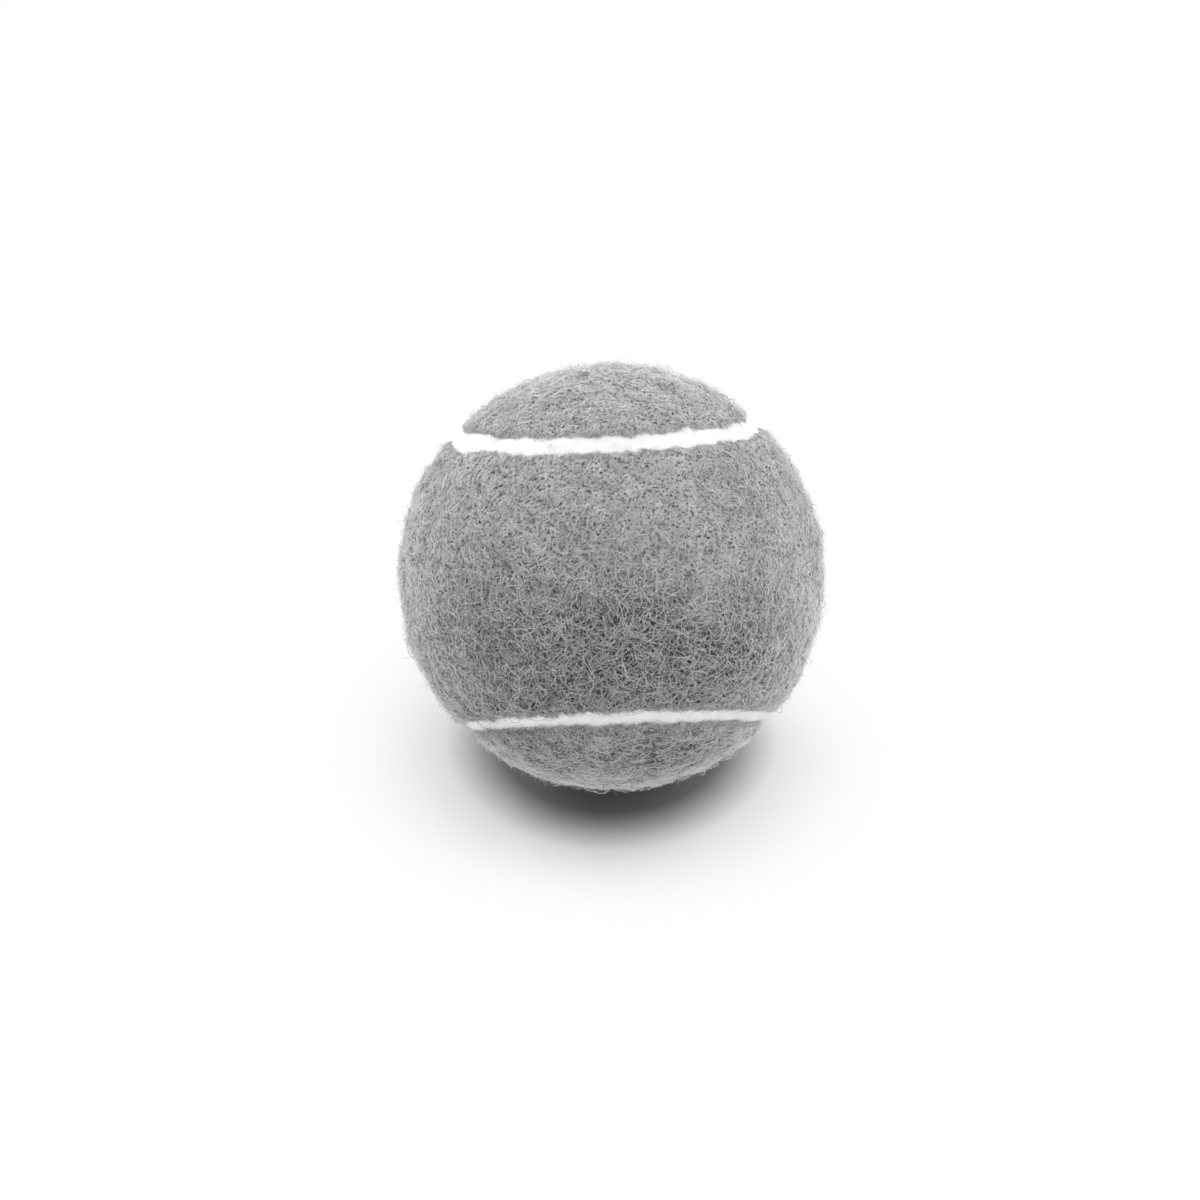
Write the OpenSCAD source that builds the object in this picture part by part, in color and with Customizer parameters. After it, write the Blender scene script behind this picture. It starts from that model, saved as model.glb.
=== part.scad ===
// Felt-covered tennis ball. A hollow rubber core, bonded from two half shells, carries two
// interlocking dumbbell panels of felt, and one closed loop of white rubber fills the gap
// between their edges. Millimetres. The origin is the ball's centre, +Z is up as the ball
// lies, and -Y faces the viewer.

/* [Ball] */
// Diameter over the pressed felt
ball_d = 66; // [60:0.5:72]

/* [Core] */
// Wall of each moulded half shell
core_wall = 3.5; // [2.5:0.1:6]
// Thickness of the bond between the two rims
bond_t = 0.4; // [0.2:0.1:1]
// Radius of the bead that the bond squeezes out inside the core
bond_bead_r = 0.9; // [0.5:0.1:1.5]
// Thickness of the rubber solution that coats the ground core
coat_t = 0.15; // [0.1:0.05:0.4]

/* [Felt] */
// Thickness of the pressed felt
felt_t = 3; // [2.4:0.1:4]
// Thickness of the rubber spread on the felt's back before it is cut
backing_t = 0.25; // [0.15:0.05:0.5]
// Radius of the rolled shoulder where the felt falls away to the seam
shoulder_r = 1.5; // [0.6:0.1:2]
// How far the shoulder's circle stands past the two faces that it joins
shoulder_proud = 0.06; // [0.04:0.01:0.1]

/* [Seam] */
// Gap between the edges of the two panels, measured at the ball's surface
seam_w = 2.9; // [1.5:0.1:4]
// Depth of the seam's top below the felt
seam_sink = 0.9; // [0.4:0.1:1.5]
// Half the waist of a panel, as an angle at the ball's centre
half_waist = 39; // [36:0.5:43]

/* [How the ball lies] */
// Lift of the front panel's waist above the level
waist_lift = 36; // [0:1:90]
// Turn of the waist about the upright axis
waist_swing = -2.6; // [-180:0.1:180]
// Roll of the waist about the axis that points out of it
waist_roll = 4; // [-90:0.1:90]

/* [Hidden] */
$fn = 96;

// Radii of the layers, from the outside in. Each layer lies face to face on the next.
ball_r = ball_d / 2;
felt_low_r = ball_r - felt_t;
backing_low_r = felt_low_r - backing_t;
core_r = backing_low_r - coat_t;
hollow_r = core_r - core_wall;
seam_top_r = ball_r - seam_sink;

// The seam is four equal arcs on the ball. Two of their circles are centred just above the
// equator of the seam's own frame and two just below it, a quarter turn apart, and each
// circle touches its neighbours on the equator, where the seam bends over.
circle_tilt = atan((cos(45) - sin(half_waist)) / cos(half_waist));
circle_angle = 90 - half_waist - circle_tilt;
half_gap_angle = asin(seam_w / 2 / ball_r);

// Each lobe's wall stands this far inside the waist's where the two meet on the equator,
// because their curves only touch there and would cross in slivers
lobe_step = 0.02;
lobe_step_angle = asin(lobe_step / ball_r);

// How far a cutting shape runs past what it cuts
overrun = 2 * ball_r;
// How far the tool that trims a layer runs past both of its faces
trim_overrun = shoulder_r;

// Turns the seam's own frame, where the front panel's waist is at +Z, to the way the ball lies
module as_it_lies() {
    rotate([0, 0, waist_swing])
        rotate([90 - waist_lift, 0, 0])
            rotate([0, 0, 90 + waist_roll])
                children();
}

// Places the children, with their own Z axis, on the centres of two opposite circles
module on_circles(first_turn, tilt) {
    for (turn = [first_turn, first_turn + 180])
        rotate([0, 0, turn])
            rotate([0, 90 + tilt, 0])
                children();
}
module on_upper_circles() {
    on_circles(0, -circle_tilt) children();
}
module on_lower_circles() {
    on_circles(90, circle_tilt) children();
}

module upper_space() {
    translate([-overrun / 2, -overrun / 2, 0]) cube(overrun);
}
module lower_space() {
    mirror([0, 0, 1]) upper_space();
}

// Sections that are turned about a circle's axis. The axis is Y here, the ball's centre is
// the origin, and the seam runs through the section at circle_angle from the axis.
module ring_section(low_r, high_r) {
    difference() {
        circle(high_r);
        circle(low_r);
    }
}

// All that lies between the circle's axis and the middle of the seam
module lobe_section() {
    polygon([
        [0, 0],
        [0, overrun],
        overrun * [sin(circle_angle), cos(circle_angle)]
    ]);
}

// What the rolled shoulder takes off a panel whose edge lies along X
module shoulder_section() {
    seat = shoulder_r - shoulder_proud;
    centre = [sqrt(pow(ball_r - seat, 2) - pow(seat, 2)), seat];
    difference() {
        translate([centre.x, centre.y - 2 * shoulder_r]) square(2 * shoulder_r);
        translate(centre) circle(shoulder_r);
    }
}

// The gap between the two panels: straight walls that aim at the ball's centre, and a
// rolled shoulder at the top of each
module gap_section() {
    wall_end = overrun * [cos(half_gap_angle), sin(half_gap_angle)];
    rotate(90 - circle_angle)
        for (side = [0, 1])
            mirror([0, side]) {
                polygon([[0, 0], [overrun, 0], wall_end]);
                rotate(half_gap_angle) shoulder_section();
            }
}

// The waist of a panel: the upper half of a hollow ball, cut back by the two upper circles.
// The ball's poles are turned level, to the middles of the panel's lobes.
module waist_layer(low_r, high_r) {
    difference() {
        intersection() {
            rotate([90, 0, 0]) difference() {
                sphere(high_r);
                sphere(low_r);
            }
            upper_space();
        }
        on_upper_circles() rotate_extrude() intersection() {
            ring_section(low_r - trim_overrun, high_r + trim_overrun);
            union() {
                lobe_section();
                gap_section();
            }
        }
    }
}

// The two lobes of a panel: the lower parts of the discs inside the two lower circles
module lobe_layers(low_r, high_r) {
    intersection() {
        lower_space();
        on_lower_circles() rotate_extrude() difference() {
            intersection() {
                ring_section(low_r, high_r);
                lobe_section();
            }
            rotate(lobe_step_angle) gap_section();
        }
    }
}

// One layer of a dumbbell panel, from one radius out to another, with its waist at +Z
module panel_layer(low_r, high_r) {
    waist_layer(low_r, high_r);
    lobe_layers(low_r, high_r);
}
module front_panel(low_r, high_r) {
    as_it_lies() panel_layer(low_r, high_r);
}
// The same panel upside down and a quarter turn round: its waist is between the front's lobes
module back_panel(low_r, high_r) {
    as_it_lies() rotate([0, 0, 90]) mirror([0, 0, 1]) panel_layer(low_r, high_r);
}

module half_shell() {
    difference() {
        sphere(core_r);
        sphere(hollow_r);
        translate([-overrun / 2, -overrun / 2, bond_t / 2 - overrun]) cube(overrun);
    }
}
module core_lower() {
    color("dimgray") mirror([0, 0, 1]) half_shell();
}
module core_upper() {
    color("dimgray") half_shell();
}

// The bond fills the joint between the rims, flush outside, with a bead along the inside
module core_bond() {
    color("saddlebrown") rotate_extrude() {
        intersection() {
            ring_section(hollow_r, core_r);
            translate([0, -bond_t / 2]) square([overrun, bond_t]);
        }
        intersection() {
            circle(hollow_r);
            translate([hollow_r, 0]) circle(bond_bead_r);
        }
    }
}

module core_coat() {
    color("tan") difference() {
        sphere(backing_low_r);
        sphere(core_r);
    }
}

module backing_front() {
    color("burlywood") front_panel(backing_low_r, felt_low_r);
}
module backing_back() {
    color("burlywood") back_panel(backing_low_r, felt_low_r);
}
module felt_front() {
    color("gray") front_panel(felt_low_r, ball_r);
}
module felt_back() {
    color("darkgray") back_panel(felt_low_r, ball_r);
}

// The seam fills the gap from the coated core up, and stops short of the felt's surface
module seam_section() {
    intersection() {
        gap_section();
        ring_section(backing_low_r, seam_top_r);
    }
}
module seam_rubber() {
    color("white") as_it_lies() {
        intersection() {
            upper_space();
            on_upper_circles() rotate_extrude() seam_section();
        }
        intersection() {
            lower_space();
            on_lower_circles() rotate_extrude() seam_section();
        }
    }
}

core_lower();
core_upper();
core_bond();
core_coat();
backing_front();
backing_back();
felt_front();
felt_back();
seam_rubber();
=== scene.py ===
# %% [markdown]
# # A grey felt ball
# A tennis ball is a hollow rubber core, wrapped in two pieces of felt that are cut like
# dumbbells, with white rubber in the gap between them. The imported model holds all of
# these layers as plain solids. What the eye sees of such a ball is mostly hair, though:
# the nap that stands on the felt. So this lesson makes the felt's ground, the rubber seam
# and then many thousands of single fibres, all as meshes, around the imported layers. All
# lengths are in metres, unless a comment says otherwise.

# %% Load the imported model
import math

import bmesh
import bpy
import numpy as np
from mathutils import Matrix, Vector


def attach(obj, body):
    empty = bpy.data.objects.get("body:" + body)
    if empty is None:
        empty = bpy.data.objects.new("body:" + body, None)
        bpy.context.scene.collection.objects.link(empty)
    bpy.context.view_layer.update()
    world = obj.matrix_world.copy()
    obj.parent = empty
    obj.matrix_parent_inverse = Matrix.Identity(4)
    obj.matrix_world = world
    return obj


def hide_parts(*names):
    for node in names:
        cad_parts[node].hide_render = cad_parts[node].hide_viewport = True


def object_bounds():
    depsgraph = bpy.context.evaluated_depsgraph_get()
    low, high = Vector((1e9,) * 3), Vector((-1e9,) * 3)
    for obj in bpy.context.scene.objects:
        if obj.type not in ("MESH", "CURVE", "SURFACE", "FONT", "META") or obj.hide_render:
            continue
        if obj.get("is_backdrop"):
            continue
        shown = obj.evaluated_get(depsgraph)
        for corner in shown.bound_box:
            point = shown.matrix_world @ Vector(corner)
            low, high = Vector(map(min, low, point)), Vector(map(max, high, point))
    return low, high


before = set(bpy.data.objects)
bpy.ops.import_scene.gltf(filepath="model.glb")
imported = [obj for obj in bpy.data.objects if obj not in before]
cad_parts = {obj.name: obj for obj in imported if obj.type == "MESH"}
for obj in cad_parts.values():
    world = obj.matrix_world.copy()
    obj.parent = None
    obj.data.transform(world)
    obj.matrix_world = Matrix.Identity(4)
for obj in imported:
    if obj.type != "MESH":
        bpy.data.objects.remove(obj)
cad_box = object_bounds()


def reach(node):
    """Least and greatest distance of a packed layer from the ball's centre."""
    away = [v.co.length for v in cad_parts[node].data.vertices]
    return min(away), max(away)


FELT_LOW, BALL = reach("felt_front")
SEAM_LOW, SEAM_TOP = reach("seam_rubber")
print(f"felt from {FELT_LOW:.4f} to {BALL:.4f} m, "
      f"seam from {SEAM_LOW:.4f} to {SEAM_TOP:.4f} m")

# %% [markdown]
# ## The camera
# Product pictures of small things are taken with a long lens from a little way off, so
# that a ball stays round. The ball is a sphere of known size, so its width in the picture
# and the distance give the lens. It sits a little right of the picture's middle and a
# little above it, and the camera aims beside the ball's centre to match.

# %% Camera
PICTURE = 1200  # pixels across
BALL_IN_PICTURE = (611.5, 576)  # the ball's centre, in pixels from the left and the top
BALL_RADIUS_IN_PICTURE = 213  # pixels
CAMERA_ELEVATION = math.radians(38)
CAMERA_AWAY = 0.53  # from the ball's centre
SENSOR = 36  # millimetres across

toward_camera = np.array([0, -math.cos(CAMERA_ELEVATION), math.sin(CAMERA_ELEVATION)])
picture_right = np.array([1.0, 0, 0])
picture_up = np.cross(toward_camera, picture_right)
focal = BALL_RADIUS_IN_PICTURE * math.sqrt(CAMERA_AWAY**2 - BALL**2) / BALL  # pixels
pixel = CAMERA_AWAY / focal  # one pixel's width at the ball's centre
aim = -pixel * (
    (BALL_IN_PICTURE[0] - PICTURE / 2) * picture_right
    + (PICTURE / 2 - BALL_IN_PICTURE[1]) * picture_up
)

camera = bpy.data.objects.new("camera", bpy.data.cameras.new("camera"))
camera.data.sensor_width = SENSOR
camera.data.lens = focal * SENSOR / PICTURE
camera.location = CAMERA_AWAY * toward_camera
camera.rotation_euler = (Vector(aim) - camera.location).to_track_quat("-Z", "Y").to_euler()
bpy.context.collection.objects.link(camera)
bpy.context.scene.camera = camera
print(f"lens {camera.data.lens:.1f} mm, a pixel is {pixel * 1000:.3f} mm at the ball")


def seen_at(x, y):
    """The direction, from the ball's centre, of the spot on the ball that a pixel shows."""
    across = (x - BALL_IN_PICTURE[0]) / BALL_RADIUS_IN_PICTURE
    above = (BALL_IN_PICTURE[1] - y) / BALL_RADIUS_IN_PICTURE
    depth = math.sqrt(1 - across**2 - above**2)
    return across * picture_right + above * picture_up + depth * toward_camera


# %% [markdown]
# ## Where the seam runs
# The seam is one closed loop of four equal arcs. Each is part of a circle on the ball:
# two circles are centred just above the equator of the seam's own frame and two just
# below it, a quarter turn apart, and neighbours touch on the equator. So the distance of
# any spot from the seam is its distance from the nearest circle's rim, which numpy can
# work out for a million spots at once. The felt, the rubber and the fibres all ask this
# one function where the seam is, and so they always fit each other.

# %% The seam's frame and circles
HALF_WAIST = math.radians(39)
WAIST_LIFT, WAIST_SWING, WAIST_ROLL = math.radians(36), math.radians(-2.6), math.radians(4)


def turn(axis, angle):
    """A 3 by 3 matrix that turns column vectors about X, Y or Z."""
    c, s = math.cos(angle), math.sin(angle)
    one, two = [(1, 2), (2, 0), (0, 1)]["XYZ".index(axis)]
    matrix = np.eye(3)
    matrix[[one, one, two, two], [one, two, one, two]] = c, -s, s, c
    return matrix


as_it_lies = (
    turn("Z", WAIST_SWING)
    @ turn("X", math.pi / 2 - WAIST_LIFT)
    @ turn("Z", math.pi / 2 + WAIST_ROLL)
)
circle_tilt = math.atan(
    (math.cos(math.pi / 4) - math.sin(HALF_WAIST)) / math.cos(HALF_WAIST)
)
circle_angle = math.pi / 2 - HALF_WAIST - circle_tilt
print(f"circles {math.degrees(circle_angle):.2f} degrees in radius, "
      f"tilted {math.degrees(circle_tilt):.2f}")

# %% Distance from the seam


def unit(vectors):
    """Vectors of the same directions and of length 1."""
    return vectors / np.linalg.norm(vectors, axis=-1, keepdims=True)


def from_seam(directions):
    """For each direction, the distance along the ball from the seam's middle, which is
    positive on the front panel, and the unit vector that leads further onto that panel."""
    own = directions @ as_it_lies
    upper = own[:, 2] >= 0
    side = np.where(own >= 0, 1.0, -1.0)
    centre = np.zeros_like(own)
    centre[:, 0] = np.where(upper, side[:, 0] * math.cos(circle_tilt), 0)
    centre[:, 1] = np.where(upper, 0, side[:, 1] * math.cos(circle_tilt))
    centre[:, 2] = np.where(upper, 1, -1) * math.sin(circle_tilt)
    along = (own * centre).sum(1)
    angle = np.arccos(np.clip(along, -1, 1))
    inward = unit(centre - along[:, None] * own)
    front = np.where(upper, -1, 1)
    return front * (circle_angle - angle) * BALL, (inward * front[:, None]) @ as_it_lies.T


def seam_middle(steps):
    """Directions along the seam's middle, evenly spaced, all the way round. The arcs
    follow each other head to tail."""
    lift, flat = math.sin(circle_tilt), math.cos(circle_tilt)
    sweep = math.pi / 2 + math.atan(lift)
    u = np.linspace(-sweep, sweep, steps // 4, endpoint=False)[:, None]
    upper = (
        math.cos(circle_angle) * np.array([flat, 0, lift])
        + math.sin(circle_angle) * np.cos(u) * np.array([-lift, 0, flat])
        + math.sin(circle_angle) * np.sin(u) * np.array([0, 1, 0])
    )
    arcs = []
    for arc in range(4):
        points = upper * [1, 1, -1] if arc % 2 else upper
        arcs.append(points @ turn("Z", arc * math.pi / 2).T)
    return np.concatenate(arcs) @ as_it_lies.T


spots = unit(np.random.default_rng(5).normal(size=(20000, 3)))  # a sample of the ball
print(f"the front panel's share of the ball is {(from_seam(spots)[0] > 0).mean():.3f}")

# %% [markdown]
# ## Uneven, but the same every time
# Nothing on felt is even. A sum of a few dozen waves with random directions makes smooth
# hills of about one chosen size, and a fixed seed makes them the same in every run. Each
# thing that is uneven below has its own short list of hills: a height, a size and a seed.

# %% Smooth random hills
WAVES = 40
WAVES_IN_A_SIZE = (0.75, 1.35)  # least and most


def hills(directions, size, seed):
    """A smooth random value, mostly from -2 to 2, at each spot of the ball, with hills
    about half of `size` across."""
    rng = np.random.default_rng(seed)
    waves = unit(rng.normal(size=(WAVES, 3))) * rng.uniform(*WAVES_IN_A_SIZE, (WAVES, 1))
    phases = rng.uniform(0, 2 * math.pi, WAVES)
    at = directions @ (waves.T * (2 * math.pi * BALL / size)) + phases
    return np.cos(at).sum(1) * math.sqrt(2 / WAVES)


def with_hills(level, directions, layers):
    """A level, with layers of hills of the given heights, sizes and seeds added to it."""
    for height, size, seed in layers:
        level = level + height * hills(directions, size, seed)
    return level


def ease(low, high, values):
    """0 up to low, 1 from high on, and a smooth step between."""
    t = np.clip((values - low) / (high - low), 0, 1)
    return t * t * (3 - 2 * t)


some = hills(spots, 0.01, 1)
print(f"hills of size 10 mm: {some.min():.2f} to {some.max():.2f}")

# %% [markdown]
# ## The felt's edge and its rolled shoulder
# The panels are stamped from a flat sheet, and their edges are dipped in white rubber
# before they go on the ball. When the ball is pressed and steamed, the felt swells and
# the edges roll over into the seam. By hand the gap never comes out even: here it is
# wider on top than in front, widest at both sides of the top, and it wavers.

# %% Gap and ground
SHOULDER = 0.0015  # radius of the rolled edge
GAP_TOP, GAP_FRONT = 0.0030, 0.0027  # the whole gap, where the seam faces up and forward
GAP_MORE_AT_SIDES = 0.0007
FACES_UP = (-0.1, 0.95)  # heights on a ball of radius 1, from the front's gap to the top's
TO_A_SIDE, HIGH_UP = (0.45, 0.75), (0.3, 0.6)  # where the sides of the top begin
GAP_HILLS = [(0.00014, 0.011, 11), (0.00015, 0.0024, 12)]
GROUND_SINK = 0.0005  # the felt's ground lies this far under the nap's surface
FELT_HILLS = [(0.00012, 0.014, 21), (0.00011, 0.0045, 22), (0.00006, 0.0022, 23)]


def half_gap(directions):
    """Half the gap between the felts near each direction."""
    across, _, up = directions.T
    width = GAP_FRONT + (GAP_TOP - GAP_FRONT) * ease(*FACES_UP, up)
    at_sides = ease(*TO_A_SIDE, np.abs(across)) * ease(*HIGH_UP, up)
    width += GAP_MORE_AT_SIDES * at_sides
    return with_hills(width / 2, directions, GAP_HILLS)


def onto_felt(directions):
    """How far each direction is onto the nearest felt from its edge, negative over the
    gap, and the unit vector that leads further onto that felt."""
    away, lead = from_seam(directions)
    return np.abs(away) - half_gap(directions), lead * np.where(away >= 0, 1, -1)[:, None]


def shoulder_drop(inside):
    """How far the rolled shoulder has fallen this far inside the felt's edge."""
    left = np.clip(SHOULDER - inside, 0, SHOULDER)
    return SHOULDER - np.sqrt(SHOULDER**2 - left**2)


def relief(directions):
    """How far the felt's ground stands over or under its even level."""
    return with_hills(0, directions, FELT_HILLS)


def ground(directions):
    """Radius of the felt's ground at each direction. Its relief dies away down the rounded
    shoulder, where it follows the relief at the shoulder's start."""
    inside, lead = onto_felt(directions)
    left = np.clip(SHOULDER - inside, 0, SHOULDER)
    start = unit(directions + lead * left[:, None] / BALL)
    upright = np.sqrt(1 - (left / SHOULDER) ** 2)
    return BALL - GROUND_SINK - shoulder_drop(inside) + relief(start) * upright


radii = ground(spots) * 1000
print(f"ground from {radii.min():.2f} to {radii.max():.2f} mm")

# %% [markdown]
# ## The two felt panels
# A panel could be cut from a sphere with a Boolean, but that leaves slivers along the
# edge, just where the eye looks. Instead a cube, divided finely and blown up to a ball,
# gives even square cells. The cells of one panel are kept, the vertices on their border
# slide onto the shoulder's start, and more rows of vertices roll over the shoulder, run
# down the felt's cut edge and close the panel underneath. Each panel is one closed skin.

# %% Ball of even cells
CELLS = 100  # along each of the cube's edges
SAME_TO = 6  # decimals to which the points on an edge of two sides agree


def even_ball(cells):
    """Directions and four-cornered cells of a cube that is blown up to a ball."""
    steps = np.tan(np.linspace(-math.pi / 4, math.pi / 4, cells + 1))
    a, b = np.meshgrid(steps, steps, indexing="ij")
    one = np.ones_like(a)
    sides = [
        (one, a, b), (-one, b, a), (b, one, a), (a, -one, b), (a, b, one), (b, a, -one)
    ]
    points = np.concatenate([np.stack(s, -1).reshape(-1, 3) for s in sides])
    index = np.arange(a.size).reshape(a.shape)
    square = np.stack([index[:-1, :-1], index[1:, :-1], index[1:, 1:], index[:-1, 1:]], -1)
    corners = np.concatenate([square.reshape(-1, 4) + side * a.size for side in range(6)])
    _, first, same = np.unique(
        np.round(points, SAME_TO), axis=0, return_index=True, return_inverse=True
    )
    return unit(points[first]), same.reshape(-1)[corners]


ball_directions, ball_cells = even_ball(CELLS)
print(len(ball_directions), "directions,", len(ball_cells), "cells")

# %% Panels above their shoulders
SLIDES = 3
RELAX_ROUNDS, RELAX_WITHIN = 12, 0.003  # cells this near the shoulder are evened out


def border_loop(cells):
    """The vertices round the edge of a patch of cells, in order."""
    edges = {}
    for k in range(4):
        for a, b in zip(cells[:, k].tolist(), cells[:, (k + 1) % 4].tolist()):
            if not edges.pop((b, a), False):
                edges[a, b] = True
    after = dict(edges.keys())
    loop = [next(iter(after))]
    while after[loop[-1]] != loop[0]:
        loop.append(after[loop[-1]])
    return np.array(loop)


def slide_to(directions, wanted):
    """Slides directions until they are `wanted` inside the felt's edge."""
    for _ in range(SLIDES):
        inside, lead = onto_felt(directions)
        directions = unit(directions + lead * ((wanted - inside) / BALL)[:, None])
    return directions


def panel_patch(front):
    """Directions, cells and border loop of the part of a panel above its shoulder."""
    middle = unit(ball_directions[ball_cells].mean(1))
    away, _ = from_seam(middle)
    kept = ((away >= 0) == front) & (onto_felt(middle)[0] > SHOULDER)
    used, cells = np.unique(ball_cells[kept], return_inverse=True)
    cells = cells.reshape(-1, 4)
    directions = ball_directions[used]
    loop = border_loop(cells)
    directions[loop] = slide_to(directions[loop], SHOULDER)
    near = onto_felt(directions)[0] < SHOULDER + RELAX_WITHIN
    near[loop] = False
    for _ in range(RELAX_ROUNDS):
        total, count = np.zeros_like(directions), np.zeros(len(directions))
        for k in range(4):
            for other in (1, 3):
                np.add.at(total, cells[:, k], directions[cells[:, (k + other) % 4]])
                np.add.at(count, cells[:, k], 1)
        directions[near] = unit(total[near] / count[near, None])
        between = directions[np.roll(loop, 1)] + directions[np.roll(loop, -1)]
        directions[loop] = slide_to(unit(between / 2 + directions[loop]), SHOULDER)
    return directions, cells, loop


patches = {"front": panel_patch(True), "back": panel_patch(False)}
for side, (_, cells, loop) in patches.items():
    print(side, len(cells), "cells,", len(loop), "vertices round the edge")

# %% [markdown]
# Every mesh of felt, rubber and fibre goes from numpy arrays straight into Blender,
# because a loop over millions of vertices in Python would be slow. Each piece moves with
# the imported body.

# %% Pieces from arrays


def new_piece(name, points, faces, uv=None):
    """A smooth mesh object from points, a list of face arrays and a UV for each corner."""
    mesh = bpy.data.meshes.new(name)
    corners = np.concatenate([f.reshape(-1) for f in faces])
    counts = np.concatenate([np.full(len(f), f.shape[1]) for f in faces])
    mesh.vertices.add(len(points))
    mesh.vertices.foreach_set("co", np.asarray(points, np.float32).reshape(-1))
    mesh.loops.add(len(corners))
    mesh.loops.foreach_set("vertex_index", corners.astype(np.int32))
    mesh.polygons.add(len(counts))
    mesh.polygons.foreach_set(
        "loop_start", np.concatenate([[0], np.cumsum(counts)[:-1]]).astype(np.int32)
    )
    mesh.polygons.foreach_set("use_smooth", np.ones(len(counts), bool))
    if uv is not None:
        layer = mesh.uv_layers.new(name="OFBake")
        layer.uv.foreach_set("vector", np.asarray(uv, np.float32).reshape(-1))
    mesh.update(calc_edges=True)
    mesh.validate()
    piece = bpy.data.objects.new(name, mesh)
    bpy.context.collection.objects.link(piece)
    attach(piece, "root")
    return piece


def face_outwards(piece):
    """Turns every face of a closed skin to look out."""
    skin = bmesh.new()
    skin.from_mesh(piece.data)
    bmesh.ops.recalc_face_normals(skin, faces=skin.faces)
    skin.to_mesh(piece.data)
    skin.free()


# %% Panel skins
EDGE_ROWS, WALL_ROWS = 8, 3  # rows of vertices over the shoulder and down the cut edge


def felt_panel(side):
    """One panel's closed skin: its face, shoulder, cut edge and underside."""
    directions, cells, loop = patches[side]
    rim = directions[loop]
    _, lead = onto_felt(rim)
    rise = relief(rim)
    rows = []
    for step in range(1, EDGE_ROWS + 1):
        bend = math.pi / 2 * step / EDGE_ROWS
        out = SHOULDER * math.sin(bend)
        fall = SHOULDER * (1 - math.cos(bend))
        radius = BALL - GROUND_SINK - fall + rise * math.cos(bend)
        rows.append(unit(rim - lead * out / BALL) * radius[:, None])
    edge = unit(rim - lead * SHOULDER / BALL)
    wall_top = BALL - GROUND_SINK - SHOULDER
    for step in range(1, WALL_ROWS + 1):
        rows.append(edge * (wall_top + (FELT_LOW - wall_top) * step / WALL_ROWS))
    top = directions * ground(directions)[:, None]
    points = np.concatenate([top, directions * FELT_LOW, *rows])
    count, around = len(directions), len(loop)
    after = np.roll(np.arange(around), -1)
    rings = [loop] + [2 * count + k * around + np.arange(around) for k in range(len(rows))]
    rings.append(count + loop)
    bands = [
        np.stack([one[after], one, two, two[after]], -1)
        for one, two in zip(rings[:-1], rings[1:])
    ]
    faces = [cells, cells[:, ::-1] + count, *bands]
    piece = new_piece(f"felt_ground_{side}", points, faces)
    face_outwards(piece)
    print(piece.name, "of", len(points), "vertices")
    return piece


felt_ground = {side: felt_panel(side) for side in patches}

# %% [markdown]
# A stamped panel is flat before it goes on the ball: about 52 mm wide and 150 mm long,
# with a waist. It is stretched over the core.

for side, piece in felt_ground.items():
    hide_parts(f"felt_{side}")

# %% [markdown]
# ## The rubber seam
# The white line is rubber that was soft when the ball was pressed. It fills the gap, and
# a thin film of it creeps up the rounded edges of both felts and ends at a ragged line.
# A tube along the seam would look like a piping cord. So the seam is swept as a band: its
# middle is nearly level, its sides follow the felt's shoulders, just over the felt at
# first and just under it past the film's end, and its underside is on the coated core.

# %% Rubber surface
FILM, FILM_END = 0.00008, 0.0001  # its thickness, and how near its end it starts to dive
FILM_DIVE = 4  # film thicknesses by which it dives, so that it ends under the felt
CREEP, CREEP_RAGGED = 0.00050, 0.00030  # how far the film reaches onto the felt
CREEP_HILLS = [(1, 0.0035, 33), (1, 0.0009, 34)]
UNDER_FELT = 0.0010  # how far the band reaches in under the felt's face
SEAM_HILLS = [(0.00007, 0.006, 31), (0.00001, 0.0016, 32)]
LUMP_RADIUS, LUMP_HEIGHT = 0.0006, 0.0006
LUMPS_IN_PICTURE = [(685, 431), (612, 716), (552, 447), (705, 713)]


def past_film(directions):
    """How far each direction is past the ragged line where the film of rubber ends."""
    inside, _ = onto_felt(directions)
    ragged = with_hills(0, directions, CREEP_HILLS) / math.sqrt(len(CREEP_HILLS))
    return inside - CREEP - CREEP_RAGGED * np.minimum(ragged, 1)


def rubber_top(directions):
    """Radius of the rubber's surface over the gap and under the felts beside it."""
    inside, _ = onto_felt(directions)
    level = with_hills(SEAM_TOP, directions, SEAM_HILLS)
    for spot in LUMPS_IN_PICTURE:
        near = np.linalg.norm(directions - seen_at(*spot), axis=1) * BALL / LUMP_RADIUS
        level += LUMP_HEIGHT * np.exp(-near**2)
    film = FILM * (1 - FILM_DIVE * ease(-FILM_END, FILM_END, past_film(directions)))
    return np.maximum(level, np.where(inside > 0, ground(directions) + film, 0))


in_gap = rubber_top(spots[onto_felt(spots)[0] < 0]) * 1000
print(f"rubber in the gap from {in_gap.min():.2f} to {in_gap.max():.2f} mm")

# %% Seam band
SEAM_STEPS = 1600
ROWS_BESIDE, ROWS_LEVEL, ROWS_BELOW = 13, 7, 5

middle = seam_middle(SEAM_STEPS)
gaps = np.linalg.norm(np.roll(middle, -1, 0) - middle, axis=1) * BALL
print(f"seam {gaps.sum() * 1000:.1f} mm long, "
      f"steps {gaps.min() * 1000:.2f} to {gaps.max() * 1000:.2f} mm")


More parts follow.
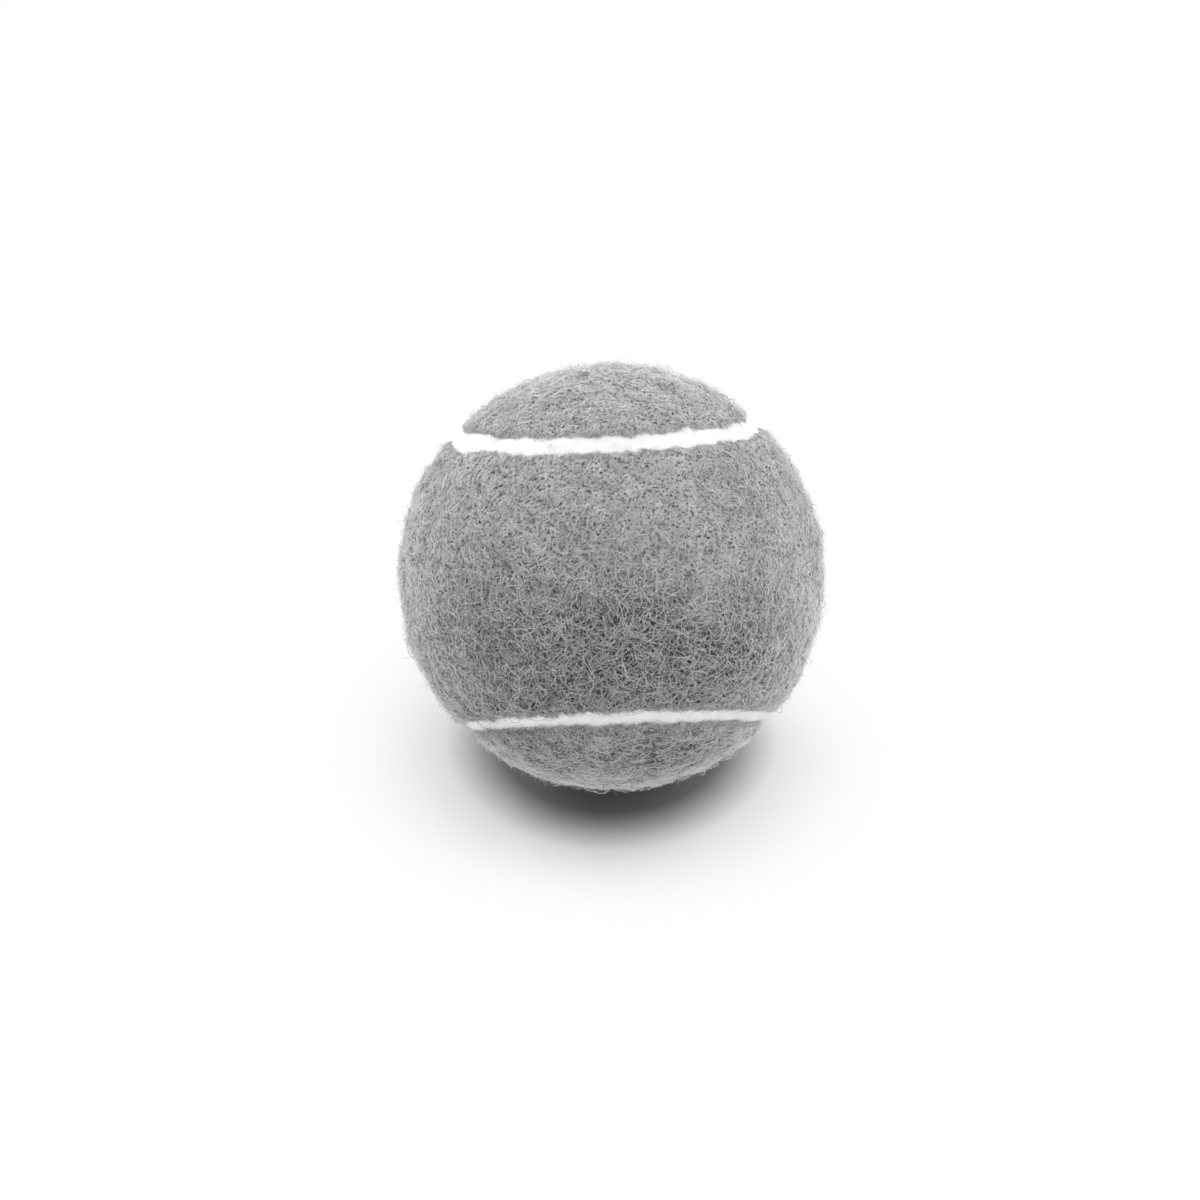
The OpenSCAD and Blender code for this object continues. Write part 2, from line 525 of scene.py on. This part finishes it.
def seam_piece():
    """The closed band of white rubber, swept along the seam's middle."""
    _, lead = from_seam(middle)
    half = half_gap(middle)
    beyond = np.linspace(UNDER_FELT, 0, ROWS_BESIDE)
    across = [half + step for step in beyond]
    across += [half * share for share in np.linspace(1, -1, ROWS_LEVEL + 2)[1:-1]]
    across += [-half - step for step in beyond[::-1]]
    rows = []
    for offset in across:
        at = unit(middle + lead * (offset / BALL)[:, None])
        rows.append(at * rubber_top(at)[:, None])
    for share in np.linspace(-1, 1, ROWS_BELOW):
        at = unit(middle + lead * (share * (half + UNDER_FELT) / BALL)[:, None])
        rows.append(at * SEAM_LOW)
    around, count = len(middle), len(rows)
    index = np.arange(around * count).reshape(count, around)
    one, two = index, np.roll(index, -1, 0)
    faces = np.stack([one, two, np.roll(two, -1, 1), np.roll(one, -1, 1)], -1)
    faces = faces.reshape(-1, 4)
    piece = new_piece("seam_band", np.concatenate(rows), [faces])
    face_outwards(piece)
    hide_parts("seam_rubber")
    return piece


seam = seam_piece()
print("seam of", len(seam.data.polygons), "faces")

# %% [markdown]
# ## The nap
# Needled felt has loops and ends of fibre all over its face, teased up by brushing and
# matted down by use. Blender's hair would render well, but this model has to leave
# Blender as meshes, so every fibre here is a thin three-sided tube with pointed ends.
# The nap isn't alike all over the ball: low in front it is teased up, and elsewhere it
# is mostly flat.

# %% Where the nap is loose
LOOSE_IN_PICTURE = (606, 710)  # the middle of the loosest patch
LOOSE_FULLY, LOOSE_TO = 0.34, 0.98  # distances from it, in radii of the ball
LOOSE_STRETCH = 0.66  # less than 1 makes the patch wider than it is high
LOOSE_ELSEWHERE = 0.22
LOOSE_HILLS = [(0.08, 0.02, 41)]

loosest = seen_at(*LOOSE_IN_PICTURE)


def looseness(directions):
    """0 where the nap is pressed flat and 1 where it is teased up, as low in front."""
    away = (directions - loosest) * [LOOSE_STRETCH, 1, 1]
    near = 1 - ease(LOOSE_FULLY, LOOSE_TO, np.linalg.norm(away, axis=1))
    level = LOOSE_ELSEWHERE + (1 - LOOSE_ELSEWHERE) * near
    return np.clip(with_hills(level, directions, LOOSE_HILLS), 0, 1)


print(f"looseness {looseness(spots).mean():.2f} on average")

# %% [markdown]
# Light gets lost between the fibres, and the more the deeper it goes. A renderer finds
# that by itself only where all the fibres of the real felt are there, which would be
# millions. So that shade is painted in: every vertex of felt carries the tone that it
# shows, painted shade and all, and how deep it lies, and its finish reads both.

# %% How the felt's tones show
LIT_FROM, LIT_FULLY = -0.00008, 0.00028  # heights above the felt's ground, from full painted shade to none
LIT_LATER = 0.45  # how much higher the light begins where the nap is loose
LOST_DEEP, LOST_LOOSE = 0.19, 0.93  # painted shade: light lost at the ground, and the more where loose
PAINTED_SHADE_WHERE_LOOSE = 0.20  # painted shade at any height where the nap is loose, low in front
SOAKED_TONE, SOAKED_FROM, SOAKED_TO = 0.93, -0.0002, 0.0003  # distances past the film
SOAKED_DEEP = 0.3  # how far rubber fills the dark depths
ALONE_PAINTED_SHADE, ALONE_FROM, ALONE_TO = 0.16, -0.0002, 0.0002  # painted shade for fibres over the rubber, fading out between these distances past the film
DARKEST, PALEST = 0.02, 0.96
GROUND_TONE = 0.80


def as_seen(tones, directions, height):
    """Fibres' tones as they show, and their depths: 1 at the felt's ground, 0 up in the
    light. Shade is painted into the tones: low down light gets lost, most of all in loose
    nap, and loose nap is painted darker at any height. Fibres that hang over the rubber
    have no others round them to pass light on, so they are painted darker, and close to
    the seam the low ones are white with rubber."""
    teased = looseness(directions) ** 2
    deep = 1 - ease(LIT_FROM, LIT_FULLY * (1 + LIT_LATER * teased), height)
    past = past_film(directions)
    tones = tones * (1 - ALONE_PAINTED_SHADE * (1 - ease(ALONE_FROM, ALONE_TO, past)))
    soaked = deep * (1 - ease(SOAKED_FROM, SOAKED_TO, past))
    deep = deep * (1 - SOAKED_DEEP * soaked)
    lost = 1 - (1 - LOST_DEEP) * (1 - LOST_LOOSE * teased)
    tones = tones * (1 - lost * deep) * (1 - PAINTED_SHADE_WHERE_LOOSE * teased)
    return np.clip(tones + (SOAKED_TONE - tones) * soaked, DARKEST, PALEST), deep


def keep(piece, name, values):
    """Gives a piece one number per vertex, for its finish to read."""
    piece.data.attributes.new(name, "FLOAT", "POINT").data.foreach_set(
        "value", np.asarray(values, np.float32)
    )


for side, piece in felt_ground.items():
    points = np.empty(3 * len(piece.data.vertices), np.float32)
    piece.data.vertices.foreach_get("co", points)
    directions = unit(points.reshape(-1, 3).astype(float))
    # the ground lies at the bottom of the nap, so it takes the full painted shade
    tones, depths = as_seen(np.full(len(directions), GROUND_TONE), directions, LIT_FROM)
    keep(piece, "tone", tones)
    keep(piece, "depth", depths)
    print(side, f"ground's tones from {tones.min():.2f} to {tones.max():.2f}")

# %% [markdown]
# ## Kinds of fibre
# Looked at closely, the nap isn't one kind of hair. Most fibres lie matted and cover the
# ground. Some arch up in loops and catch the light. Short free ends stand out and blur
# the ball's outline. A few long, wandering ones were pulled out by handling. Along each
# edge of the felt, short fibres follow the cut and overhang the rubber a little. Grey
# felt of this kind is a blend of pale and dark fibres, so each has a tone of its own.
# The recipe gives each kind its usual bend in radians, its mean lift over the ground, how
# deep its ends are sunk, its thickness as a radius, how far it overhangs the gap on
# average, and the mean and spread of its pale tones.

# %% Nap recipe
PALE_SHARE = 0.94
DARK, DARK_SPREAD = 0.18, 0.08
KINDS = {
    "matted": dict(
        count=41000, steps=3, length=(0.0010, 0.0026), bend=1.1, lift=0.00010,
        sunk=0.00005, thick=0.000036, overhang=0.00018, free_end=False, pale=0.92,
        spread=0.13,
    ),
    "arched": dict(
        count=27500, steps=4, length=(0.0014, 0.0034), bend=1.6, lift=0.00030,
        sunk=0.00010, thick=0.000040, overhang=0.00034, free_end=False, pale=0.96,
        spread=0.06,
    ),
    "ends": dict(
        count=33000, steps=2, length=(0.0007, 0.0015), bend=1.1, lift=0.00060,
        sunk=0.00010, thick=0.000028, overhang=0.00050, free_end=True, pale=0.95,
        spread=0.05,
    ),
    "long": dict(
        count=7000, steps=8, length=(0.0030, 0.0060), bend=2.2, lift=0.00042,
        sunk=0.00010, thick=0.000040, overhang=0.00070, free_end=False, pale=0.96,
        spread=0.03, elsewhere=0.45,
    ),
    "edge": dict(
        count=9000, steps=3, length=(0.0006, 0.0019), bend=1.1, lift=0.00030,
        sunk=0.00008, thick=0.000032, overhang=0.00120, free_end=False, pale=0.80,
        spread=0.16, edge_band=0.0011, stray=1.6,
    ),
}
print(sum(kind["count"] for kind in KINDS.values()), "fibres on each panel")

# %% [markdown]
# ## From a root to a fibre
# A fibre is a short walk over the ball that starts below the ground, bends as it goes,
# rises, and mostly dives back in. All walks of one kind are worked out together, as rows
# of one array. A fibre that would hang too far over the seam moves back onto the felt.
# Fibres are stiff as well, so one that leaves the felt's edge doesn't follow the rounded
# shoulder all the way down. Where the ball stands on the table the nap is pressed flat.
# Each step is tried on one kind first, with random numbers of its own.

# %% Roots
ROOT_INSIDE = 0.0001  # least distance from the felt's edge
TRIES = 4  # for each fibre that is wanted


def roots_on(front, kind, rng):
    """Random directions on one panel, near its edge if the kind has an edge_band, and
    mostly where the nap is loose if it has a share for the rest of the ball."""
    found = []
    while sum(map(len, found)) < kind["count"]:
        tries = unit(rng.normal(size=(TRIES * kind["count"], 3)))
        away, _ = from_seam(tries)
        inside, _ = onto_felt(tries)
        good = ((away >= 0) == front) & (inside > ROOT_INSIDE)
        good &= inside < kind.get("edge_band", math.inf)
        share = kind.get("elsewhere", 1)
        good &= rng.random(len(tries)) < share + (1 - share) * looseness(tries)
        found.append(tries[good])
    return np.concatenate(found)[: kind["count"]]


trial, trial_rng = KINDS["long"], np.random.default_rng(7)
roots = roots_on(True, trial, trial_rng)
print(f"looseness {looseness(roots).mean():.2f} on average at the roots of long fibres")

# %% Walks over the ball
LENGTH_FLAT, LENGTH_LOOSE = 0.75, 0.65  # share of the length, and the more where loose


def wander(roots, lead, kind, rng):
    """Directions along each fibre, in one row after the other. Each fibre bends and wavers,
    with its middle at its root. With an edge_band it follows the felt's edge, more or
    less."""
    count, steps = len(roots), kind["steps"]
    spin = rng.normal(size=(count, 3))
    if "edge_band" in kind:
        east = np.cross(roots, lead)
        heading = rng.normal(0, kind["stray"], count) + math.pi * rng.integers(0, 2, count)
    else:
        east = unit(np.cross(roots, spin))
        heading = rng.uniform(0, 2 * math.pi, count)
    north = np.cross(roots, east)
    share = LENGTH_FLAT + LENGTH_LOOSE * looseness(roots)
    step = (rng.uniform(*kind["length"], count) * share / steps)[:, None]
    bend = rng.normal(0, kind["bend"], count)[:, None]
    wave = rng.normal(0, kind["bend"] / 2, count)[:, None]
    phase = rng.uniform(0, 2 * math.pi, count)[:, None]
    t = np.linspace(0, 1, steps + 1)
    way = heading[:, None] + bend * (t - 0.5) + wave * np.sin(2 * math.pi * t + phase)
    x, y = (
        np.concatenate([np.zeros((count, 1)), np.cumsum(part(way) * step, 1)[:, :-1]], 1)
        for part in (np.cos, np.sin)
    )
    x, y = x - x.mean(1, keepdims=True), y - y.mean(1, keepdims=True)
    sideways = x[..., None] * east[:, None]
    points = roots[:, None] * BALL + sideways + y[..., None] * north[:, None]
    return unit(points).reshape(-1, 3)


def kept_back(directions, lead, front, kind, rng):
    """The same walks, but a fibre that would hang too far over the seam, or would reach
    the other felt, has moved inwards as a whole."""
    count = len(lead)
    overhang = rng.exponential(kind["overhang"], count)
    inside, _ = onto_felt(directions)
    away, _ = from_seam(directions)
    across = (away >= 0) != front
    inside = np.where(across, -2 * half_gap(directions) - inside, inside)
    over = np.clip(-inside.reshape(count, -1).min(1) - overhang, 0, None)
    push = np.repeat(lead * over[:, None] / BALL, kind["steps"] + 1, axis=0)
    return unit(directions + push)


_, lead = onto_felt(roots)
walks = kept_back(wander(roots, lead, trial, trial_rng), lead, True, trial, trial_rng)
print(f"long fibres hang over the gap by up to {-onto_felt(walks)[0].min() * 1000:.2f} mm")

# %% Heights and tones along the walks
TABLE = -BALL
STIFF = 0.65  # the most of a fall in the ground that a fibre bridges
LIFT_FLAT, LIFT_LOOSE = 0.6, 0.5  # share of the lift, and the more where loose
END_CURVE = 0.8  # less than 1 makes free ends rise steeply at first


def lifted(directions, loose, kind, rng):
    """Points along the walks, and their heights over what they lie on."""
    t = np.linspace(0, 1, kind["steps"] + 1)
    top = rng.gamma(2, kind["lift"] / 2, len(loose)) * (LIFT_FLAT + LIFT_LOOSE * loose)
    rise = t**END_CURVE if kind["free_end"] else np.sin(math.pi * t)
    height = (-kind["sunk"] + (top + kind["sunk"])[:, None] * rise).reshape(-1)
    inside, _ = onto_felt(directions)
    surface = ground(directions)
    near = inside < UNDER_FELT
    surface[near] = np.maximum(surface[near], rubber_top(directions[near]) + kind["thick"])
    surface = surface.reshape(len(loose), -1)
    held = surface[:, :1]
    if not kind["free_end"]:
        held = np.maximum(held, surface[:, -1:])
    bridged = rng.uniform(0, STIFF, (len(loose), 1))
    surface = surface + bridged * np.clip(held - surface, 0, None)
    points = directions * (surface.reshape(-1) + height)[:, None]
    points[:, 2] = np.maximum(points[:, 2], TABLE + kind["thick"])
    return points, height


def fibre_walks(front, kind, rng):
    """Points, tones and depths along the fibres of one kind, a row for each fibre."""
    roots = roots_on(front, kind, rng)
    count = len(roots)
    _, lead = onto_felt(roots)
    directions = kept_back(wander(roots, lead, kind, rng), lead, front, kind, rng)
    points, height = lifted(directions, looseness(roots), kind, rng)
    pale = rng.random(count) < PALE_SHARE
    pale_tones = rng.normal(kind["pale"], kind["spread"], count)
    dark_tones = rng.normal(DARK, DARK_SPREAD, count)
    own = np.where(pale, pale_tones, dark_tones)
    # each fibre's own tone, with shade painted in for its depth, loose nap and overhang
    tones, depths = as_seen(np.repeat(own, kind["steps"] + 1), directions, height)
    return points.reshape(count, -1, 3), tones.reshape(count, -1), depths.reshape(count, -1)


walks, tones, _ = fibre_walks(True, trial, trial_rng)
longest = np.linalg.norm(np.diff(walks, axis=1), axis=2).sum(1).max()
print(f"long fibres up to {longest * 1000:.1f} mm long, mean tone {tones.mean():.2f}")

# %% Fibre tubes
TAPER = (0.12, 0.88)  # the part of a sine's arch that a tube's thickness follows


def fibre_tubes(walks, thick):
    """Points and faces of three-sided tubes along the walks, pointed at both ends."""
    count, stops = walks.shape[:2]
    ahead = unit(np.gradient(walks, axis=1))
    beside = unit(np.cross(ahead, unit(walks)))
    above = np.cross(beside, ahead)
    taper = np.sin(math.pi * np.linspace(*TAPER, stops)) ** 0.5
    ring = []
    for corner in range(3):
        a = math.pi / 2 + corner * 2 * math.pi / 3
        ring.append(
            walks + (beside * math.cos(a) + above * math.sin(a)) * taper[None, :, None]
            * thick[:, None, None]
        )
    tube = np.stack(ring, 2)[:, 1:-1].reshape(count, -1, 3)
    points = np.concatenate([walks[:, :1], tube, walks[:, -1:]], 1)
    rings = stops - 2
    last = 1 + 3 * (rings - 1)
    quads, tips = [], []
    for k in range(3):
        after = (k + 1) % 3
        tips.append([0, 1 + after, 1 + k])
        tips.append([last + 3, last + k, last + after])
        for r in range(rings - 1):
            a = 1 + 3 * r
            quads.append([a + k, a + after, a + 3 + after, a + 3 + k])
    shift = (np.arange(count) * points.shape[1])[:, None, None]
    quads, tips = np.array(quads), np.array(tips)
    return points.reshape(-1, 3), [
        (quads[None] + shift).reshape(-1, 4), (tips[None] + shift).reshape(-1, 3)
    ]


def on_tubes(values):
    """Numbers of the walks' stops, turned into numbers of the tubes' points."""
    rings = np.repeat(values[:, 1:-1], 3, 1)
    return np.concatenate([values[:, :1], rings, values[:, -1:]], 1).reshape(-1)


points, (quads, tips) = fibre_tubes(walks, np.full(len(walks), trial["thick"]))
print("a long fibre has", len(points) // len(walks), "points,",
      len(quads) // len(walks), "quads and", len(tips) // len(walks), "triangles")

# %% [markdown]
# Each fibre needs a place on a picture, where its finishes can be baked. Unwrapping so
# many tubes would be slow. Every fibre of a kind is the same small net of faces, though,
# so each simply gets its own square of the picture.

# %% A place on a picture for each fibre
INSET = 0.9  # leaves a margin, so that no fibre takes on its neighbour's colour


def fibre_map(count, rings):
    """A place on a picture for every face corner: each fibre has its own small square."""
    across = math.ceil(math.sqrt(count))
    cell = 1 / across
    fibre = np.arange(count)
    low = np.stack([fibre % across, fibre // across], -1) * cell
    span = cell / (rings + 1)

    def patch(side, row, corners):
        return np.array([[(side + u) / 3 * cell, (row + v) * span] for u, v in corners])

    square, tip = [(0, 0), (1, 0), (1, 1), (0, 1)], [(0.5, 0), (1, 1), (0, 1)]
    quads, tips = [], []
    for side in range(3):
        tips.append(patch(side, 0, tip))
        tips.append(patch(side, rings, [(0.5, 1), (0, 0), (1, 0)]))
        for row in range(1, rings):
            quads.append(patch(side, row, square))

    def place(patches):
        corners = np.array(patches).reshape(-1, 2)
        return (low[:, None] + cell / 2 + (corners - cell / 2) * INSET).reshape(-1, 2)

    return np.concatenate([place(quads), place(tips)])


places = fibre_map(len(walks), trial["steps"] - 1)
print(len(places), "corners, from", places.min(0).round(4), "to", places.max(0).round(4))

# %% Nap
FACES_IN_A_PIECE = 199000
THICK_SHARES = (0.7, 1.25)  # of a kind's thickness, least and most


def nap_pieces(side, front, seed):
    """All the fibres of one panel, a few pieces for each kind."""
    rng = np.random.default_rng(seed)
    made = []
    for name, kind in KINDS.items():
        walks, tones, depths = fibre_walks(front, kind, rng)
        thick = kind["thick"] * rng.uniform(*THICK_SHARES, len(walks))
        each = 6 * kind["steps"] - 6  # triangles in a fibre
        shares = math.ceil(len(walks) * each / FACES_IN_A_PIECE)
        for number, share in enumerate(np.array_split(np.arange(len(walks)), shares)):
            points, faces = fibre_tubes(walks[share], thick[share])
            uv = fibre_map(len(share), kind["steps"] - 1)
            label = f"nap_{side}_{name}" + (f"_{number + 1}" if shares > 1 else "")
            piece = new_piece(label, points, faces, uv)
            keep(piece, "tone", on_tubes(tones[share]))
            keep(piece, "depth", on_tubes(depths[share]))
            made.append(piece)
    print(side, "nap in", len(made), "pieces")
    return made


nap = nap_pieces("front", True, 101) + nap_pieces("back", False, 102)

# %% [markdown]
# ## Finishes
# Every finish is built from nodes, with no pictures. Object coordinates are metres from
# the ball's centre, so the noise sizes below are real sizes too. One helper makes a
# Principled shader, and small helpers add noise, ramps and bumps.

# %% Node helpers
NOISE_DETAIL, NOISE_ROUGHNESS = 3.0, 0.55


class Finish:
    """A material under construction: a Principled shader and nodes that feed it."""

    def __init__(self, name, roughness=0.7, sheen=0.0):
        self.material = bpy.data.materials.new(name)
        self.material.use_nodes = True
        self.tree = self.material.node_tree
        self.shader = self.tree.nodes["Principled BSDF"]
        self.shader.inputs["Roughness"].default_value = roughness
        self.shader.inputs["Sheen Weight"].default_value = sheen
        self.place = self.tree.nodes.new("ShaderNodeTexCoord").outputs["Object"]

    def noise(self, size):
        node = self.tree.nodes.new("ShaderNodeTexNoise")
        node.inputs["Scale"].default_value = 1 / size
        node.inputs["Detail"].default_value = NOISE_DETAIL
        node.inputs["Roughness"].default_value = NOISE_ROUGHNESS
        self.tree.links.new(self.place, node.inputs["Vector"])
        return node.outputs["Fac"]

    def attribute(self, name):
        node = self.tree.nodes.new("ShaderNodeAttribute")
        node.attribute_name = name
        return node.outputs["Fac"]

    def ramp(self, value, stops):
        """Colours, or greys where a stop is a plain number, between the given places."""
        node = self.tree.nodes.new("ShaderNodeValToRGB")
        while len(node.color_ramp.elements) < len(stops):
            node.color_ramp.elements.new(0.5)
        for element, (at, colour) in zip(node.color_ramp.elements, stops):
            element.position = at
            grey = (colour,) * 3 if isinstance(colour, (int, float)) else colour
            element.color = (*grey, 1)
        self.tree.links.new(value, node.inputs["Fac"])
        return node.outputs["Color"]

    def mottled(self, size, stops):
        """Colours that change over about this size."""
        return self.ramp(self.noise(size), stops)

    def times(self, one, two, share=None):
        """One colour times another, or times it only by as much as share says."""
        node = self.tree.nodes.new("ShaderNodeMix")
        node.data_type, node.blend_type = "RGBA", "MULTIPLY"
        node.inputs["Factor"].default_value = 1
        if share:
            self.tree.links.new(share, node.inputs["Factor"])
        self.tree.links.new(one, node.inputs["A"])
        self.tree.links.new(two, node.inputs["B"])
        return node.outputs["Result"]

    def bump(self, height, depth):
        node = self.tree.nodes.new("ShaderNodeBump")
        node.inputs["Distance"].default_value = depth
        self.tree.links.new(height, node.inputs["Height"])
        self.tree.links.new(node.outputs["Normal"], self.shader.inputs["Normal"])

    def feed(self, socket, value):
        self.tree.links.new(value, self.shader.inputs[socket])

    def on(self, *pieces):
        for piece in pieces:
            if piece.material_slots:
                piece.material_slots[0].link = "OBJECT"
                piece.material_slots[0].material = self.material
            else:
                piece.data.materials.append(self.material)
        print(self.material.name, "on", ", ".join(p.name for p in pieces))


# %% [markdown]
# Every vertex of the felt carries a tone, painted shade and all, and the finish turns it
# into a plain grey. It also carries its depth in the nap. Between tufts there are pits
# well under a millimetre across, where light gets lost, so fine noise paints shade into
# the felt there, the more the deeper a spot lies. Tufts about 4 mm across differ a little
# too, and last come soft clouds a centimetre across, a trace warmer or cooler.

# %% Felt finishes
# painted shade in pits: the noise's size, and where it goes from darkest to none
PAINTED_PIT_SHADE = (0.00045, [(0.38, 0.04), (0.52, 1)])
TUFTS = (0.004, [(0.38, 0.88), (0.56, 1)])
CLOUDS = (
    0.012, [(0.36, (0.955, 0.955, 0.96)), (0.5, (1, 1, 1)), (0.64, (0.985, 0.98, 0.965))]
)


def felt_finish(name, pieces, sheen):
    finish = Finish(name, roughness=0.9, sheen=sheen)
    grey = finish.ramp(finish.attribute("tone"), [(0, 0), (1, 1)])
    grey = finish.times(grey, finish.mottled(*PAINTED_PIT_SHADE), share=finish.attribute("depth"))
    grey = finish.times(grey, finish.mottled(*TUFTS))
    finish.feed("Base Color", finish.times(grey, finish.mottled(*CLOUDS)))
    finish.on(*pieces)


felt_finish("felt_ground", felt_ground.values(), sheen=0.1)
felt_finish("felt_fibres", nap, sheen=0.35)

# %% [markdown]
# The seam is soft white rubber, a little grubby here and there. The layers that felt and
# seam hide get their own finishes too: ground dark rubber for the core, brown cement in
# its joint, amber rubber solution over it, and tan rubber spread on the felt's back.

# %% Rubber finishes
WHITES = (0.002, [(0.25, (0.80, 0.80, 0.775)), (0.5, (0.89, 0.89, 0.87))])
WHITE_ROUGHNESS = (0.003, [(0.3, 0.45), (0.7, 0.7)])
WHITE_GRAIN = 0.0007
BUMP_DEPTH = 0.0001
HIDDEN = {  # nodes, dark and pale colour, size of the grain
    "core_rubber": (
        ("core_lower", "core_upper"), (0.055, 0.055, 0.06), (0.13, 0.13, 0.135), 0.0007
    ),
    "brown_cement": (("core_bond",), (0.12, 0.07, 0.03), (0.26, 0.16, 0.08), 0.0015),
    "amber_solution": (("core_coat",), (0.34, 0.24, 0.13), (0.50, 0.38, 0.24), 0.004),
    "tan_spread": (
        ("backing_front", "backing_back"), (0.40, 0.33, 0.23), (0.56, 0.48, 0.36), 0.0012
    ),
}

white_rubber = Finish("white_rubber")
white_rubber.feed("Base Color", white_rubber.mottled(*WHITES))
white_rubber.feed("Roughness", white_rubber.mottled(*WHITE_ROUGHNESS))
white_rubber.bump(white_rubber.noise(WHITE_GRAIN), BUMP_DEPTH)
white_rubber.on(seam)

for name, (nodes, dark, pale, size) in HIDDEN.items():
    finish = Finish(name)
    grain = finish.noise(size)
    finish.feed("Base Color", finish.ramp(grain, [(0.3, dark), (0.7, pale)]))
    finish.bump(grain, BUMP_DEPTH)
    finish.on(*(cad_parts[node] for node in nodes))

# %% [markdown]
# ## Table and light
# The picture was taken on a white sweep under a large soft light. The table is white and
# takes the ball's shadow. Where the ball touches it, its colour is painted darker as well,
# a painted shadow for how little light gets in there. Further out it fades to pure white
# for the camera, for mirrors and for glass, and for nothing else, so that it never adds
# light to the ball. The world does the same, and so the helper that tells those rays apart
# serves both.

# %% Helpers for table and world


def join(tree, operation, one, two):
    """The result of a Math node."""
    node = tree.nodes.new("ShaderNodeMath")
    node.operation = operation
    tree.links.new(one, node.inputs[0])
    tree.links.new(two, node.inputs[1])
    return node.outputs["Value"]


def map_range(tree, value, came_from, goes_to, interpolation="LINEAR"):
    """A value of one range, brought into another and held within its ends."""
    node = tree.nodes.new("ShaderNodeMapRange")
    node.interpolation_type = interpolation
    sockets = ("From Min", "From Max", "To Min", "To Max")
    for socket, number in zip(sockets, (*came_from, *goes_to)):
        node.inputs[socket].default_value = number
    tree.links.new(value, node.inputs["Value"])
    return node.outputs["Result"]


def is_looking(tree):
    """1 for rays of the camera, mirrors and glass, and 0 for those that carry light."""
    rays = tree.nodes.new("ShaderNodeLightPath").outputs
    looking = rays["Is Camera Ray"]
    for other in ("Is Glossy Ray", "Is Transmission Ray"):
        looking = join(tree, "MAXIMUM", looking, rays[other])
    return looking


# %% White table
TABLE_SIZE = 4.0
CONTACT = (0.018, 0.027)  # distances from where the ball touches, from the painted shadow to full colour
TO_WHITE = (0.018, 0.047)  # the same, from the table's own colour to pure white
# the table's own colour, and the painted shadow's colour where the ball touches
TABLE_COLOUR, PAINTED_SHADOW_AT_CONTACT = 0.89, 0.25


def table_material():
    material = bpy.data.materials.new("white_table")
    material.use_nodes = True
    tree = material.node_tree
    tree.nodes.remove(tree.nodes["Principled BSDF"])
    matt = tree.nodes.new("ShaderNodeBsdfDiffuse")
    glow = tree.nodes.new("ShaderNodeEmission")
    place = tree.nodes.new("ShaderNodeTexCoord").outputs["Object"]
    far = tree.nodes.new("ShaderNodeVectorMath")
    far.operation = "LENGTH"
    tree.links.new(place, far.inputs[0])
    away = far.outputs["Value"]
    # the table's colour, painted darker near the ball as a shadow
    colour = map_range(tree, away, CONTACT, (PAINTED_SHADOW_AT_CONTACT, TABLE_COLOUR))
    tree.links.new(colour, matt.inputs["Color"])
    fade = map_range(tree, away, TO_WHITE, (0, 1), "SMOOTHSTEP")
    mix = tree.nodes.new("ShaderNodeMixShader")
    tree.links.new(join(tree, "MULTIPLY", is_looking(tree), fade), mix.inputs["Fac"])
    tree.links.new(matt.outputs["BSDF"], mix.inputs[1])
    tree.links.new(glow.outputs["Emission"], mix.inputs[2])
    tree.links.new(mix.outputs["Shader"], tree.nodes["Material Output"].inputs["Surface"])
    return material


table_mesh = bpy.data.meshes.new("table")
half = TABLE_SIZE / 2
table_mesh.from_pydata(
    [(-half, -half, 0), (half, -half, 0), (half, half, 0), (-half, half, 0)],
    [], [(0, 1, 2, 3)],
)
table_mesh.materials.append(table_material())
table = bpy.data.objects.new("table", table_mesh)
table.location.z = TABLE  # the fade and the painted shadow are measured from where the ball touches
bpy.context.collection.objects.link(table)
table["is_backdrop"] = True
print("table at", round(TABLE, 4), "m")

# %% [markdown]
# The world gives an even light from all round, at about a quarter of full strength. Lamps
# give the rest: a soft one overhead, one on either side, two behind that brighten the
# ball's outline, and a low one in front that lights what faces the camera. Together they
# light a surface that faces up at about strength 1, so a colour renders about as it is
# written.

# %% Lamps
LAMPS = {  # place, size across and strength in watts
    "overhead_lamp": ((0, 0, 0.80), 1.0, 2.3),
    "left_lamp": ((-0.62, 0.02, 0.62), 0.7, 1.1),
    "right_lamp": ((0.62, 0.02, 0.62), 0.7, 3.6),
    "back_left_lamp": ((-0.60, 0.60, 0.35), 0.5, 4.8),
    "back_right_lamp": ((0.60, 0.60, 0.35), 0.5, 1.6),
    "front_lamp": ((0, -0.92, 0.22), 0.28, 2.3),
}
for name, (place, size, watts) in LAMPS.items():
    lamp = bpy.data.objects.new(name, bpy.data.lights.new(name, "AREA"))
    lamp.data.shape = "DISK"
    lamp.data.size = size
    lamp.data.energy = watts
    lamp.location = place
    lamp.rotation_euler = (-lamp.location).to_track_quat("-Z", "Y").to_euler()
    bpy.context.collection.objects.link(lamp)
print(f"{len(LAMPS)} lamps, {sum(watts for _, _, watts in LAMPS.values()):.1f} W in all")

# %% World
AMBIENT = 0.24

world = bpy.data.worlds.new("white_room")
world.use_nodes = True
bpy.context.scene.world = world
sky = world.node_tree
background = sky.nodes["Background"]
background.inputs["Color"].default_value = (1, 1, 1, 1)
strength = map_range(sky, is_looking(sky), (0, 1), (AMBIENT, 1))
sky.links.new(strength, background.inputs["Strength"])
bpy.context.scene.view_settings.view_transform = "Standard"
print("world lights at", AMBIENT, "and looks white")

# %% [markdown]
# ## The size
# Nap may stand a little proud of the solids, but the ball may not grow. How far the
# ball's box grew over the imported solids' box is printed.

# %% Sizes
visual_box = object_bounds()
growth = (visual_box[1] - visual_box[0]) - (cad_box[1] - cad_box[0])
print("grown by", [round(float(length), 5) for length in growth], "m")
